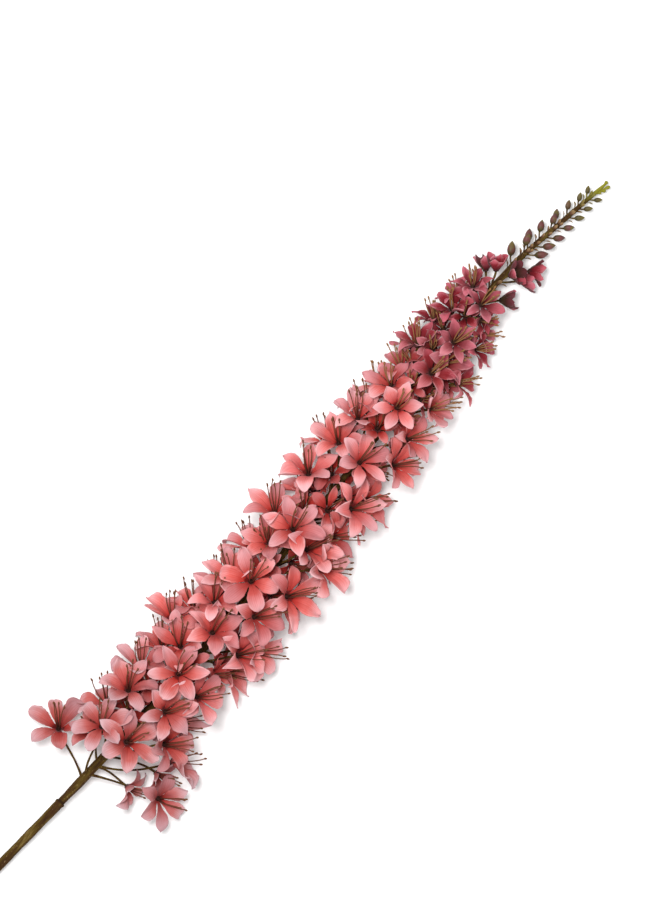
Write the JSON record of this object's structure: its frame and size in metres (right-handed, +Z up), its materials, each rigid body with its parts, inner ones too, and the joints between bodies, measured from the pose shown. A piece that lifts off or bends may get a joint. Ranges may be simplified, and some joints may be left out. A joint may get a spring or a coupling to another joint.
{
  "type": "artificial foxtail lily flower spike",
  "caption": "Artificial foxtail lily spike in coral and mauve fabric, open blooms below, closed buds at the tip, cut off and lying down.",
  "frame": {"origin": "on the surface the spike lies on, under the middle of its box", "axes": "+X along the stem towards the tip, +Y across it, +Z up from the surface"},
  "size_m": [0.8174, 0.1413, 0.076],
  "materials": {
    "stalk_brown": "satin",
    "petal_coral": "matte",
    "petal_mauve": "matte"
  },
  "bodies": {
    "root": {"bloom_01": "petal_coral", "bloom_02": "petal_coral", "bloom_03": "petal_coral", "bloom_04": "petal_coral", "bloom_05": "petal_coral", "bloom_06": "petal_coral", "bloom_07": "petal_coral", "bloom_08": "petal_coral", "bloom_09": "petal_coral", "bloom_10": "petal_coral", "bloom_11": "petal_coral", "bloom_12": "petal_coral", "bloom_13": "petal_coral", "bloom_14": "petal_coral", "bloom_15": "petal_coral", "bloom_16": "petal_coral", "bloom_17": "petal_coral", "bloom_18": "petal_coral", "bloom_19": "petal_mauve", "bloom_20": "petal_mauve", "bloom_21": "petal_mauve", "bloom_22": "petal_mauve", "bloom_23": "petal_mauve", "bloom_24": "petal_mauve", "bloom_25": "petal_mauve", "bloom_26": "petal_mauve", "bloom_27": "petal_coral", "bloom_28": "petal_coral", "bloom_29": "petal_coral", "bloom_30": "petal_coral", "bloom_31": "petal_coral", "bloom_32": "petal_coral", "bloom_33": "petal_coral", "bloom_34": "petal_coral", "stalk": "stalk_brown"}
  },
  "joints": []
}
